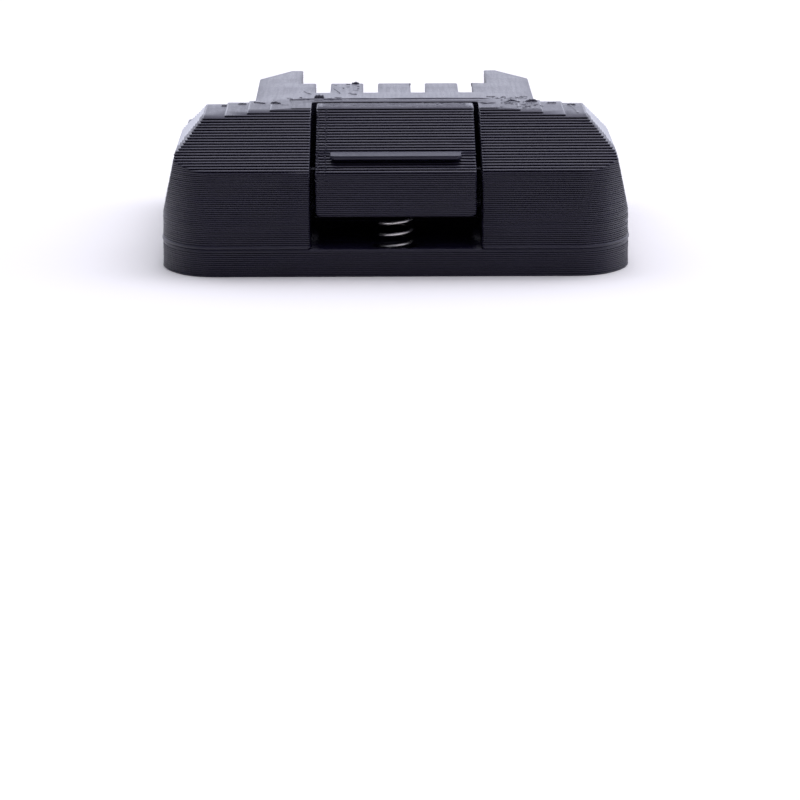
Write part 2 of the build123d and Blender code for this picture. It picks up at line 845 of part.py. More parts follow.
# Small countersunk screws, straight slot, driven from below
def countersunk_screws(depth, bottom, length):
    with BuildPart() as screws:
        with Locations(
            (-small_screw_spread / 2, at_depth(depth), bottom),
            (small_screw_spread / 2, at_depth(depth), bottom),
        ):
            Cylinder(
                small_screw_diameter / 2,
                length,
                align=(Align.CENTER, Align.CENTER, Align.MIN),
            )
            Cone(
                small_head_diameter / 2,
                small_screw_diameter / 2,
                small_head_height,
                align=(Align.CENTER, Align.CENTER, Align.MIN),
            )
            Box(
                small_head_diameter,
                slot_drive_width,
                slot_drive_depth,
                align=(Align.CENTER, Align.CENTER, Align.MIN),
                mode=Mode.SUBTRACT,
            )
    return screws.part


carrier_screws = countersunk_screws(
    carrier_screw_depth,
    carrier_bottom,
    deck_under - carrier_bottom + carrier_screw_bite,
)
carrier_screws.label = "carrier_screws"
export_step(carrier_screws, "parts/carrier_screws.step")

retainer_screws = countersunk_screws(
    retainer_screw_depth,
    carrier_top,
    retainer_thickness + retainer_screw_bite,
)
retainer_screws.label = "retainer_screws"
export_step(retainer_screws, "parts/retainer_screws.step")
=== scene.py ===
import bpy
import json
import math
import numpy as np
from mathutils import Euler, Matrix, Vector
from mathutils.geometry import delaunay_2d_cdt

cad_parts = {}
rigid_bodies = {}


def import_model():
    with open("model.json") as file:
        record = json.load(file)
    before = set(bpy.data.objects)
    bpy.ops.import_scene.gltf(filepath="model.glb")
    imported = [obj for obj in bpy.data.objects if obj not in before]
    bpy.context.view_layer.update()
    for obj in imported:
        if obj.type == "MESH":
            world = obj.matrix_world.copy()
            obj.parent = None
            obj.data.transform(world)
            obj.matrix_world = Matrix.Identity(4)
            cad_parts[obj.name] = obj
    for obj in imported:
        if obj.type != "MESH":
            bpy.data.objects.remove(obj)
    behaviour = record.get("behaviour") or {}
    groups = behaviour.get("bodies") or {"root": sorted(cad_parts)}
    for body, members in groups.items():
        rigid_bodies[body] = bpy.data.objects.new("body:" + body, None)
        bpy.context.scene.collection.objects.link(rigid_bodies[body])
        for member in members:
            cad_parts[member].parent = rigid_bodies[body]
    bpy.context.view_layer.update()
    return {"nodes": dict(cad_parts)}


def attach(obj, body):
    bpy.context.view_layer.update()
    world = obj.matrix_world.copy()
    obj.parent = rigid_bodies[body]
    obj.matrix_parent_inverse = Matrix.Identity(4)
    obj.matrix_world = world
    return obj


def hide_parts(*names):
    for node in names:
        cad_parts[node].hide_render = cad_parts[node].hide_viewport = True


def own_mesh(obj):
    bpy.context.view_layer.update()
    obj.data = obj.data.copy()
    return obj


for leftover in list(bpy.data.objects):
    bpy.data.objects.remove(leftover)
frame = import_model()
millimetre = 0.001   # the frame is in metres, and this script's lengths are in mm
print("frame loaded:", len(frame["nodes"]), "nodes")


# Shader maths: a Flow is a socket, and sums of Flows and numbers add Math nodes
class Flow:
    def __init__(self, tree, socket=None):
        self.tree = tree
        self.socket = socket

    def make(self, kind, settings=None, values=None, out=0):
        # a node: its settings first, then a value or a link for each socket that is named
        node = self.tree.nodes.new(kind)
        for key, value in (settings or {}).items():
            setattr(node, key, value)
        for key, value in (values or {}).items():
            if isinstance(value, Flow):
                self.tree.links.new(value.socket, node.inputs[key])
            else:
                node.inputs[key].default_value = value
        return Flow(self.tree, node.outputs[out] if node.outputs else None)

    def math(self, operation, *numbers):
        return self.make("ShaderNodeMath", {"operation": operation}, dict(enumerate(numbers)))

    def __add__(self, other):
        return self.math("ADD", self, other)

    def __sub__(self, other):
        return self.math("SUBTRACT", self, other)

    def __rsub__(self, other):
        return self.math("SUBTRACT", other, self)

    def __mul__(self, other):
        return self.math("MULTIPLY", self, other)

    __radd__ = __add__
    __rmul__ = __mul__

    def clamped(self):
        return self.make("ShaderNodeClamp", None, {"Value": self})

    def ramp(self, low, high):
        # 0 below low, 1 above high, smooth between
        settings = {"interpolation_type": "SMOOTHSTEP"}
        return self.make("ShaderNodeMapRange", settings, {0: self, 1: low, 2: high})

    def centred(self, amount):
        # from minus half the amount to plus half of it, as this goes from 0 to 1
        return (self - 0.5) * amount

    def along(self, axis):
        # a vector's coordinate along x, y or z, which are 0, 1 and 2
        return self.make("ShaderNodeSeparateXYZ", None, {0: self}, axis)

    def scaled(self, scale):
        # the coordinate, stretched by a factor along each axis
        return self.make("ShaderNodeMapping", None, {"Vector": self, "Scale": scale})

    def noise(self, scale=1.0, detail=2.0, rough=0.5):
        # scale is how many patches stand in a mm, on places in mm
        values = {"Vector": self, "Scale": scale, "Detail": detail, "Roughness": rough}
        return self.make("ShaderNodeTexNoise", None, values)

    def blend(self, first, second):
        # a colour between first and second, by this factor
        return self.make("ShaderNodeMix", {"data_type": "RGBA"}, {0: self, 6: first, 7: second}, 2)


def colour(red, green, blue):
    return (red, green, blue, 1)


def newMaterial(name):
    # an empty material, and its Object coordinates in mm
    material = bpy.data.materials.new(name)
    material.use_nodes = True
    material.node_tree.nodes.clear()
    flow = Flow(material.node_tree)
    places = flow.make("ShaderNodeTexCoord", out="Object").scaled((1000, 1000, 1000))
    return material, flow, places


def finishMaterial(material, flow, values, heights, depth):
    # heights times depth is the bump's real height in mm
    bump = {"Height": heights, "Distance": depth * millimetre, "Strength": 1.0}
    values = {**values, "Normal": flow.make("ShaderNodeBump", None, bump)}
    shader = flow.make("ShaderNodeBsdfPrincipled", None, values)
    flow.make("ShaderNodeOutputMaterial", None, {"Surface": shader})
    return material


# Printed plastic. Each pair is where a part of the finish fades in, by height, by depth towards the front
# or, for upward, by the face's slope. A facet's rim lies where the distance from the middle plus the height
# nears facetEdge, and the crown's where the distance plus crownFall times the height nears crownEdge.
blackPlastic = {
    "dark": colour(0.0080, 0.0060, 0.020), "light": colour(0.0125, 0.0100, 0.031),
    "speck": colour(0.10, 0.10, 0.11), "speckShare": 0.5,
    "rough": 0.42, "topRough": -0.10, "rimRough": -0.22, "crownRough": 0.06,
    "stripRough": 0.06, "dashRough": 0.20,
    "uneven": {"band": 0.12, "drag": 0.20, "grain": 0.08, "streak": 0.18, "mottle": 0.16},
    "layer": 0.3, "threadHeight": 0.02, "grainHeight": 0.010, "mottleHeight": 0.03,
    "rasterAngle": 86, "rasterPitch": 0.45, "rasterHeight": 0.010, "upward": (0.85, 0.98),
    "facetEdge": 51.95, "facetRim": (-0.55, -0.35), "facetFrom": (17.9, 18.1),
    "crownFall": 11.58, "crownEdge": 283.8, "crownRim": (-0.6, -0.4), "crownFrom": (21.95, 22.05),
    "crownDepth": (8.0, 9.0), "stripFrom": (22.86, 22.87), "stripTo": (22.93, 22.94)}


def printedPlastic(name, look):
    # the layers differ a little, the walls run in threads and the tops in raster lines, and the
    # outer beads of a top, along a facet and the crown's sides, are smoother than its filling
    material, flow, places = newMaterial(name)
    x, y, z = (places.along(axis) for axis in range(3))
    upward = flow.make("ShaderNodeNewGeometry", out="Normal").along(2).ramp(*look["upward"])
    layer = look["layer"]
    band = places.scaled((0.03, 0.03, 1 / layer)).noise(1.0, 1.0)            # layer by layer
    drag = places.scaled((0.10, 0.10, 1.4 / layer)).noise(1.0, 2.0, 0.6)     # long, along a layer
    thread = places.scaled((0.3, 0.3, 0.9 / layer)).noise(1.0, 3.0, 0.6)     # shorter, along a layer
    streak = places.scaled((2.2, 0.10, 0.4)).noise(1.0, 2.0, 0.6)            # front to back, on the tops
    dash = places.scaled((0.8, 3.5, 0.4)).noise(1.0, 1.0).ramp(0.52, 0.58)   # sideways, in the strip
    grain = places.noise(6.0, 3.0, 0.6)
    blot = places.noise(0.16, 2.0, 0.5)
    mottle = places.noise(1.6, 3.0, 0.6)
    turned = flow.make("ShaderNodeVectorRotate", {"rotation_type": "Z_AXIS"}, {
        "Vector": places, "Angle": math.radians(look["rasterAngle"])})
    raster = flow.make("ShaderNodeTexWave", {"wave_profile": "SIN"}, {
        "Vector": turned, "Scale": math.pi / 10 / look["rasterPitch"], "Distortion": 0.6,
        "Detail": 1.0, "Detail Scale": 0.4}, 1)

    across = flow.math("ABSOLUTE", x)
    facetLine = across + z - look["facetEdge"]
    crownLine = across + z * look["crownFall"] - look["crownEdge"]
    facetRim = facetLine.ramp(*look["facetRim"]) * z.ramp(*look["facetFrom"])
    crownRim = crownLine.ramp(*look["crownRim"]) * z.ramp(*look["crownFrom"])
    rim = flow.math("MAXIMUM", facetRim, crownRim) * upward
    filled = upward - rim
    crown = filled * (y * -1).ramp(*look["crownDepth"])
    strip = z.ramp(*look["stripFrom"]) * (1 - z.ramp(*look["stripTo"])) * upward

    tone = (band * 0.3 + drag * 0.4 + blot * 0.3).ramp(0.3, 0.75)
    specks = places.noise(2.6, 1.0).ramp(0.80, 0.83) * look["speckShare"]
    base = specks.blend(tone.blend(look["dark"], look["light"]), look["speck"])
    uneven = look["uneven"]
    wallRough = band.centred(uneven["band"]) + drag.centred(uneven["drag"])
    fillRough = streak.centred(uneven["streak"]) + mottle.centred(uneven["mottle"])
    rough = look["rough"] + (1 - upward) * wallRough + filled * fillRough + grain.centred(uneven["grain"])
    rough = rough + upward * look["topRough"] + rim * look["rimRough"] + crown * look["crownRough"]
    rough = rough + strip * (look["stripRough"] - dash * look["dashRough"])
    fillHeight = raster.centred(look["rasterHeight"]) + mottle.centred(look["mottleHeight"])
    height = (1 - upward) * thread.centred(look["threadHeight"]) + filled * fillHeight
    height = height + (1 - rim) * grain.centred(look["grainHeight"])
    return finishMaterial(material, flow, {
        "Base Color": base, "Roughness": rough.clamped(), "IOR": 1.5}, height, 1.0)


# Metals: a tint that wanders, fine drawn or pressed lines and scattered dulled spots
metals = {
    "spring_steel": {"dark": colour(0.55, 0.53, 0.51), "light": colour(0.78, 0.76, 0.74),
                     "spot": colour(0.16, 0.13, 0.11), "spotShare": 0.35, "rough": 0.36,
                     # the spring's last two entries paint shade on the coil's rear half, darker towards the
                     # back
                     "rearShadeFrom": (-37.2, -35.6), "paintedRearShade": colour(0.07, 0.065, 0.06),
                     "grain": (3, 3, 9), "height": 0.004},
    "plated_copper": {"dark": colour(0.55, 0.53, 0.50), "light": colour(0.78, 0.76, 0.72),
                      "spot": colour(0.55, 0.28, 0.16), "spotShare": 0.35, "rough": 0.28,
                      "grain": (9, 0.6, 9), "height": 0.004},
    "contact_bronze": {"dark": colour(0.50, 0.30, 0.14), "light": colour(0.70, 0.46, 0.24),
                       "spot": colour(0.20, 0.10, 0.05), "spotShare": 0.35, "rough": 0.30,
                       "grain": (9, 0.8, 9), "height": 0.004},
    "solder": {"dark": colour(0.48, 0.48, 0.47), "light": colour(0.70, 0.70, 0.69),
               "spot": colour(0.30, 0.28, 0.24), "spotShare": 0.4, "rough": 0.30,
               "grain": (2, 2, 2), "height": 0.03},
    "screw_steel": {"dark": colour(0.035, 0.035, 0.04), "light": colour(0.075, 0.075, 0.08),
                    "spot": colour(0.30, 0.29, 0.28), "spotShare": 0.25, "rough": 0.38,
                    "grain": (5, 5, 5), "height": 0.006},
    "zinc_steel": {"dark": colour(0.50, 0.51, 0.53), "light": colour(0.72, 0.73, 0.75),
                   "spot": colour(0.32, 0.30, 0.26), "spotShare": 0.3, "rough": 0.30,
                   "grain": (4, 4, 4), "height": 0.005},
    "insert_brass": {"dark": colour(0.52, 0.36, 0.13), "light": colour(0.74, 0.55, 0.24),
                     "spot": colour(0.24, 0.14, 0.06), "spotShare": 0.35, "rough": 0.28,
                     "grain": (4, 4, 4), "height": 0.005},
}


def metal(name, look):
    # the grain's lines move the tint, the roughness and the bump, and spots are duller and less metallic
    material, flow, places = newMaterial(name)
    lines = places.scaled(look["grain"]).noise(1.0, 3.0, 0.6)
    cloud = places.noise(0.7, 3.0, 0.6)
    spots = places.noise(3.5, 2.0).ramp(0.62, 0.72)
    dulled = spots * look["spotShare"]
    tint = (cloud * 0.7 + lines * 0.3).ramp(0.35, 0.65).blend(look["dark"], look["light"])
    base = dulled.blend(tint, look["spot"])
    if "rearShadeFrom" in look:   # painted shade: the wire's rear half, which lies in the bay's shade, is darkened by its depth
        base = places.along(1).ramp(*look["rearShadeFrom"]).blend(base, look["paintedRearShade"])
    rough = look["rough"] + lines.centred(0.15) + spots * 0.12
    return finishMaterial(material, flow, {
        "Base Color": base, "Roughness": rough.clamped(), "Metallic": 1 - dulled * 0.5},
        lines + cloud * 0.5, look["height"])


# Wire insulation: each wire's darker and lighter tone
insulations = {
    "wire_red": (colour(0.42, 0.012, 0.010), colour(0.60, 0.025, 0.020)),
    "wire_black": (colour(0.010, 0.010, 0.011), colour(0.022, 0.022, 0.024)),
    "wire_yellow": (colour(0.62, 0.42, 0.02), colour(0.80, 0.56, 0.05)),
    "wire_white": (colour(0.62, 0.61, 0.58), colour(0.80, 0.79, 0.76)),
}
wireDust = {"tint": colour(0.45, 0.43, 0.40), "share": 0.12, "rough": 0.25}


def insulation(name, dark, light):
    # soft plastic with a slow change of tone and a faint dusting
    material, flow, places = newMaterial(name)
    cloud = places.noise(0.8, 3.0, 0.6)
    dust = places.noise(4.0, 3.0, 0.6).ramp(0.55, 0.75)
    base = (dust * wireDust["share"]).blend(cloud.ramp(0.3, 0.7).blend(dark, light), wireDust["tint"])
    rough = 0.40 + dust * wireDust["rough"] + cloud.centred(0.1)
    return finishMaterial(material, flow, {
        "Base Color": base, "Roughness": rough.clamped()}, cloud + dust * 0.3, 0.02)


finishes = {"printed_black": printedPlastic("printed_black", blackPlastic)}
for name, look in metals.items():
    finishes[name] = metal(name, look)
for name, tones in insulations.items():
    finishes[name] = insulation(name, *tones)
print("materials made:", len(finishes))


# Meshes
tiny = 1e-6         # a length in mm that counts as none, and keeps a division off zero
tinySquare = 1e-9   # the same for an area


def makePiece(name, points, faces, finish, body, smoothAngle):
    # points in mm; walls have four corners to a face, and the caps, which haven't, stay flat
    mesh = bpy.data.meshes.new(name)
    mesh.from_pydata(points * millimetre, [], faces)
    mesh.polygons.foreach_set("use_smooth", np.array([len(face) == 4 for face in faces]))
    mesh.set_sharp_from_angle(angle=math.radians(smoothAngle))
    mesh.materials.append(finishes[finish])
    piece = bpy.data.objects.new(name, mesh)
    bpy.context.scene.collection.objects.link(piece)
    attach(piece, body)
    return piece


def weldedNode(nodeName):
    # a node's loose triangles in mm, with equal corners made one and empty triangles left out
    mesh = frame["nodes"][nodeName].data
    mesh.calc_loop_triangles()
    flat = np.empty(len(mesh.vertices) * 3)
    mesh.vertices.foreach_get("co", flat)
    corners = np.empty(len(mesh.loop_triangles) * 3, int)
    mesh.loop_triangles.foreach_get("vertices", corners)
    rounded = np.round(flat.reshape(-1, 3) / millimetre, 4)
    points, index = np.unique(rounded, axis=0, return_inverse=True)
    triangles = index.ravel()[corners].reshape(-1, 3)
    return points, triangles[(triangles != np.roll(triangles, 1, axis=1)).all(1)]


# A layer's outline is an array of flat points and, for each, the number of the point that follows it.
# The solid lies to the left of the way round.
def sectionAt(points, triangles, height):
    # each triangle that the height cuts gives one stretch, from one cut edge to another
    side = points[:, 2][triangles] > height
    cut = side.any(1) & ~side.all(1)
    triangles, side = triangles[cut], side[cut]
    up = side.sum(1) == 1
    lone = np.where(up, side.argmax(1), (~side).argmax(1))
    row = np.arange(len(triangles))
    a, b, c = (triangles[row, (lone + k) % 3] for k in range(3))
    first = np.where(up[:, None], np.c_[a, b], np.c_[a, c])
    second = np.where(up[:, None], np.c_[a, c], np.c_[a, b])
    edges, index = np.unique(np.sort(np.r_[first, second], axis=1), axis=0, return_inverse=True)
    start, end = np.split(index.ravel(), 2)
    low, high = points[edges[:, 0]], points[edges[:, 1]]
    share = (height - low[:, 2]) / (high[:, 2] - low[:, 2])
    following = np.empty(len(edges), int)
    following[start] = end
    return (low + (high - low) * share[:, None])[:, :2], following


def ways(flat, following):
    # unit directions into and out of each point, and the lengths of the stretches there
    back = flat - flat[np.argsort(following)]
    ahead = flat[following] - flat
    backLength = np.maximum(np.linalg.norm(back, axis=1), tiny)
    aheadLength = np.maximum(np.linalg.norm(ahead, axis=1), tiny)
    return back / backLength[:, None], ahead / aheadLength[:, None], backLength, aheadLength


def keeping(flat, following, keep):
    # the outline with only some of its points
    onward = following.copy()
    while not keep[onward].all():
        onward = np.where(keep[onward], onward, following[onward])
    number = np.cumsum(keep) - 1
    return flat[keep], number[onward[keep]]


# Stride, shift and cycle only scramble the order in which points go
thinning = {"shortest": 0.01, "rounds": 16, "stride": 7919, "shift": 31, "cycle": 1009}


def thinned(flat, following, tolerance):
    # first the points close behind another go; then, a few at a time in a scrambled order and never
    # two neighbours, those nearer than the tolerance to the line between the points beside them
    backLength = ways(flat, following)[2]
    flat, following = keeping(flat, following, backLength > thinning["shortest"])
    for number in range(thinning["rounds"]):
        preceding = np.argsort(following)
        chord = flat[following] - flat[preceding]
        reach = flat - flat[preceding]
        cross = chord[:, 0] * reach[:, 1] - chord[:, 1] * reach[:, 0]
        off = np.abs(cross) / np.maximum(np.linalg.norm(chord, axis=1), tiny)
        along = (chord * reach).sum(1) > 0
        scrambled = np.arange(len(flat)) * thinning["stride"] + number * thinning["shift"]
        turn = scrambled % thinning["cycle"]
        first = (turn > turn[following]) & (turn > turn[preceding])
        keep = ~(first & along & (off < tolerance))
        flat, following = keeping(flat, following, keep)
    return flat, following


def spreadOut(flat, following, count):
    # count points in place of each: whose they are, which of them, and the new order
    first = np.cumsum(count) - count
    owner = np.repeat(np.arange(len(flat)), count)
    place = np.arange(len(owner)) - first[owner]
    onward = np.arange(len(owner)) + 1
    onward[first + count - 1] = first[following]
    return owner, place, onward


# A corner is rounded, in steps points, if it turns by leastTurn radians, over mostShare of a side
rounding = {"steps": 3, "leastTurn": 0.4, "mostShare": 0.4, "leastMitre": 0.6}


def withRoundCorners(flat, following, radius):
    # a corner becomes a quadratic curve whose ends lie radius * tan(half the turn) away,
    # or a share of the shorter side where that is less; slight turns stay as they are
    back, ahead, backLength, aheadLength = ways(flat, following)
    cross = back[:, 0] * ahead[:, 1] - back[:, 1] * ahead[:, 0]
    turn = np.abs(np.arctan2(cross, (back * ahead).sum(1)))
    sharp = turn > rounding["leastTurn"]
    most = rounding["mostShare"] * np.minimum(backLength, aheadLength)
    reach = np.minimum(radius * np.tan(turn / 2), most)
    owner, place, onward = spreadOut(flat, following, np.where(sharp, rounding["steps"], 1))
    t = (place / (rounding["steps"] - 1))[:, None]
    corner = flat[owner]
    start = corner - (back * reach[:, None])[owner]
    end = corner + (ahead * reach[:, None])[owner]
    curve = (1 - t) ** 2 * start + 2 * t * (1 - t) * corner + t**2 * end
    return np.where(sharp[owner][:, None], curve, corner), onward


def withShortRuns(flat, following, longest):
    # long stretches are divided evenly
    run = flat[following] - flat
    count = np.maximum(1, np.ceil(np.linalg.norm(run, axis=1) / longest)).astype(int)
    owner, place, onward = spreadOut(flat, following, count)
    return flat[owner] + run[owner] * (place / count[owner])[:, None], onward


def outward(flat, following):
    # the sum of the two outward directions beside a point, over 1 + the cosine of its turn:
    # a step along it moves both sides by the same distance, and less at the sharpest corners
    back, ahead = ways(flat, following)[:2]
    across = np.c_[back[:, 1], -back[:, 0]] + np.c_[ahead[:, 1], -ahead[:, 0]]
    cosine = (back * ahead).sum(1)
    return across / np.maximum(1 + cosine, rounding["leastMitre"])[:, None]


def insidePoints(places, starts, ends):
    # a place is inside where a line from it towards +x crosses the outline an odd number of times
    y = places[:, 1][:, None]
    straddles = (starts[:, 1] > y) != (ends[:, 1] > y)
    rise = np.where(starts[:, 1] == ends[:, 1], 1.0, ends[:, 1] - starts[:, 1])
    x = starts[:, 0] + (y - starts[:, 1]) / rise * (ends[:, 0] - starts[:, 0])
    return (straddles & (places[:, 0][:, None] < x)).sum(1) % 2 == 1


def capTriangles(flat, following):
    # the outline filled with triangles that keep its stretches, all turned the same way round
    edges = list(zip(range(len(flat)), following.tolist()))
    filled = delaunay_2d_cdt([Vector(point) for point in flat], edges, [], 1, tiny)
    places = np.array([tuple(point) for point in filled[0]])
    faces = np.array([face for face in filled[2] if len(face) == 3])
    owner = np.array([sources[0] if sources else -1 for sources in filled[3]])
    middle = places[faces].mean(1)
    kept = insidePoints(middle, flat, flat[following]) & (owner[faces] >= 0).all(1)
    faces = faces[kept]
    a, b, c = (places[faces[:, k]] for k in range(3))
    area = (b[:, 0] - a[:, 0]) * (c[:, 1] - a[:, 1]) - (b[:, 1] - a[:, 1]) * (c[:, 0] - a[:, 0])
    faces = np.where(area[:, None] > 0, faces, faces[:, ::-1])
    return owner[faces[np.abs(area) > tinySquare]]


wobbleWaves = (0.35, 0.9, 2.1)   # radians to a mm


def wobble(flat, draw, amount):
    # the mean of three slow waves over the plane, drawn anew for each layer
    total = np.zeros(len(flat))
    for wave in wobbleWaves:
        heading, phase = draw.uniform(0, 2 * math.pi, 2)
        across = flat @ np.array([math.cos(heading), math.sin(heading)])
        total = total + np.sin(across * wave + phase)
    return total * amount / len(wobbleWaves)


def standOff(flat, other, following):
    # each point's distance to the nearest stretch of another outline
    run = other[following] - other
    gap = flat[:, None] - other[None]
    share = np.clip((gap * run).sum(2) / np.maximum((run**2).sum(1), tinySquare), 0, 1)
    return np.linalg.norm(gap - run * share[:, :, None], axis=2).min(1)


# Printed pieces: the node cut at mid height of each layer, and each layer a slab with rounded edges.
# A profile gives the inset at each share of a layer's height, and a special one is for one layer.
# Flare is how far the sides of the lowest layers draw in, with its last value for all above them.
# An edge goes from covered to bare as the next layer stands back by the first to the second bareFrom.
printing = {
    "layer": 0.3, "firstLayer": 0.3, "topDrop": 0.0, "cutAbove": 0.0003, "tolerance": 0.008,
    "cornerRadius": 0.5, "longestRun": 6.0, "smoothAngle": 70,
    "profile": [(0.0, 0.13), (0.6, 0.0), (1.0, 0.03)], "special": {},
    "flare": [0.0, 0.02], "sink": 0.02, "layerJitter": 0.014, "wobble": 0.016,
    "bareFrom": (0.125, 0.375), "undercut": 0.13, "shoulder": 0.08, "frontPower": 4, "frontLoss": 0.75}


def layerBounds(make, top):
    # the first layer, then even ones, the last of them ended at the top
    bounds = [make["bottom"], make["bottom"] + make["firstLayer"]]
    while bounds[-1] < top - make["layer"] / 2:
        bounds.append(bounds[-1] + make["layer"])
    return bounds[:-1] + [top]


def bareInsets(make, bare, way):
    # where the next layer stands back, the foot draws in as far as the side faces the front,
    # and the upper edge is rounded more, above all where the side doesn't
    facing = np.clip(-way[:, 1], 0, 1) ** make["frontPower"]
    undercut = bare * facing * make["undercut"]
    shoulder = bare * (1 - make["frontLoss"] * facing) * make["shoulder"]
    return {0.0: undercut, 1.0: shoulder}


def slabFaces(following, fill, rings, first):
    # walls from each ring of points to the next, and the filling below and on top
    count = len(following)
    own = np.arange(count)
    faces = []
    for k in range(rings - 1):
        below, above = first + k * count, first + (k + 1) * count
        faces += np.c_[below + own, below + following, above + following, above + own].tolist()
    faces += (fill[:, ::-1] + first).tolist()
    faces += (fill + first + (rings - 1) * count).tolist()
    return faces


def printedPiece(name, nodeName, body, make, marks=None):
    # all layers of a node, whose outlines marks may change before they are rounded
    draw = np.random.default_rng(make["seed"])
    points, triangles = weldedNode(nodeName)
    lowest, highest = points.min(0), points.max(0)
    bounds = layerBounds(make, highest[2])
    layers = list(zip(bounds, bounds[1:]))
    sections = []
    for low, high in layers:
        cut = sectionAt(points, triangles, (low + high) / 2 + make["cutAbove"])
        sections.append(thinned(*cut, make["tolerance"]))
    allPoints, allFaces, used = [], [], 0
    for number, (low, high) in enumerate(layers):
        flat, following = sections[number]
        if marks:
            flat, following = marks(flat, following, low, draw)
        flat, following = withRoundCorners(flat, following, make["cornerRadius"])
        flat, following = withShortRuns(flat, following, make["longestRun"])
        fill = capTriangles(flat, following)   # before the sides move, which can make small corners cross
        way = outward(flat, following)
        flare = make["flare"][min(number, len(make["flare"]) - 1)]
        jitter = np.clip(draw.normal(0, make["layerJitter"]), -make["sink"], make["sink"])
        inwards = flare + make["sink"] + jitter - wobble(flat, draw, make["wobble"])
        flat = flat - way * inwards[:, None]
        bare = np.full(len(flat), 0.0 if number in make["special"] else 1.0)
        if number + 1 < len(layers):
            bare *= np.interp(standOff(flat, *sections[number + 1]), make["bareFrom"], (0, 1))
        extra = bareInsets(make, bare, way)
        profile = make["special"].get(number, make["profile"])
        high = min(high, highest[2] - make["topDrop"])
        for share, inset in profile:
            ring = flat - way * (inset + extra.get(share, 0 * bare))[:, None]
            allPoints.append(np.c_[ring, np.full(len(flat), low + share * (high - low))])
        allFaces += slabFaces(following, fill, len(profile), used)
        used += len(profile) * len(flat)
    allPoints = np.clip(np.concatenate(allPoints), lowest, highest)
    piece = makePiece(name, allPoints, allFaces, "printed_black", body, make["smoothAngle"])
    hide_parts(nodeName)
    print(name, "has", len(layers), "layers and", len(allFaces), "faces")


def roundedFoot(flat, make, low, inwards):
    # the lower edge at the foot's half width is a quarter circle: at a height h below its radius r
    # the side draws back by r - sqrt(r**2 - (r - h)**2)
    radius = make["footRadius"]
    rise = min(low + make["firstLayer"] / 2 - make["bottom"], radius)
    back = (radius - math.sqrt(radius**2 - (radius - rise)**2)) * inwards
    beside = np.abs(np.abs(flat[:, 0]) - make["footHalf"]) < make["footNear"]
    beside = beside & (flat[:, 1] < make["footRear"])
    return flat - np.c_[np.where(beside, np.sign(flat[:, 0]) * back, 0.0), np.zeros(len(flat))]


housing = dict(
    printing, seed=11, bottom=4.2, topDrop=0.15, flare=[0.0, 0.0, 0.09, 0.14],
    special={0: [(0.0, 0.13), (0.5, 0.0), (1.0, 0.0)], 1: [(0.0, 0.0), (0.3, 0.0), (1.0, 0.15)]},
    footRadius=0.6, footHalf=12.9, footNear=0.3, footRear=-12.0)


def housingMarks(flat, following, low, draw):
    # the bay's lower corners are rounded
    return roundedFoot(flat, housing, low, -1), following


printedPiece("housing_print", "upper_housing", "body", housing, housingMarks)

base = dict(
    printing, seed=12, bottom=0.0, flare=[0.06, 0.10],
    special={13: [(0.0, 0.06), (0.4, 0.0), (1.0, 0.14)]})
printedPiece("base_print", "base_plate", "body", base)

# At the seam the nozzle starts each outline: seamOut is how far the wall lies out at each seamAcross.
latch = dict(
    printing, seed=13, bottom=9.2, firstLayer=0.2,
    special={28: [(0.0, 0.10), (0.4, 0.0), (1.0, 0.02)], 29: [(0.0, 0.02), (0.45, 0.03), (1.0, 0.06)]},
    footRadius=0.5, footHalf=12.25, footNear=0.3, footRear=-12.0,
    seam=-11.3, seamFrom=14.5, seamDrift=0.15, seamRoom=1.0, seamSwell=(0.5, 1.2),
    seamAcross=[-0.95, -0.6, -0.3, 0.0, 0.3, 0.6, 0.95], seamOut=[0, -0.16, 0.10, 0.02, 0.10, -0.22, 0])


def latchMarks(flat, following, low, draw):
    # rounded lower corners and, on the frontmost wall that passes the seam, a lump and two dents
    flat = roundedFoot(flat, latch, low, 1)
    if low < latch["seamFrom"]:
        return flat, following
    place = latch["seam"] + draw.uniform(-latch["seamDrift"], latch["seamDrift"])
    start, end = flat[:, 0], flat[following][:, 0]
    crossing = np.flatnonzero((start < place - latch["seamRoom"]) & (end > place + latch["seamRoom"]))
    if len(crossing) == 0:
        return flat, following
    chosen = crossing[flat[crossing, 1].argmin()]
    across = np.array(latch["seamAcross"])
    out = np.array(latch["seamOut"]) * draw.uniform(*latch["seamSwell"])
    count = np.where(np.arange(len(flat)) == chosen, len(across) + 1, 1)
    owner, number, onward = spreadOut(flat, following, count)
    spread = flat[owner]
    inserted = np.flatnonzero((owner == chosen) & (number > 0))
    spread[inserted] = np.c_[place + across, flat[chosen, 1] - out]
    return spread, onward


printedPiece("latch_print", "latch_button", "latch", latch, latchMarks)

carrier = dict(printing, seed=14, bottom=4.4)
printedPiece("carrier_print", "blade_carrier", "body", carrier)

retainer = dict(printing, seed=15, bottom=9.7)
printedPiece("retainer_print", "contact_retainer", "body", retainer)


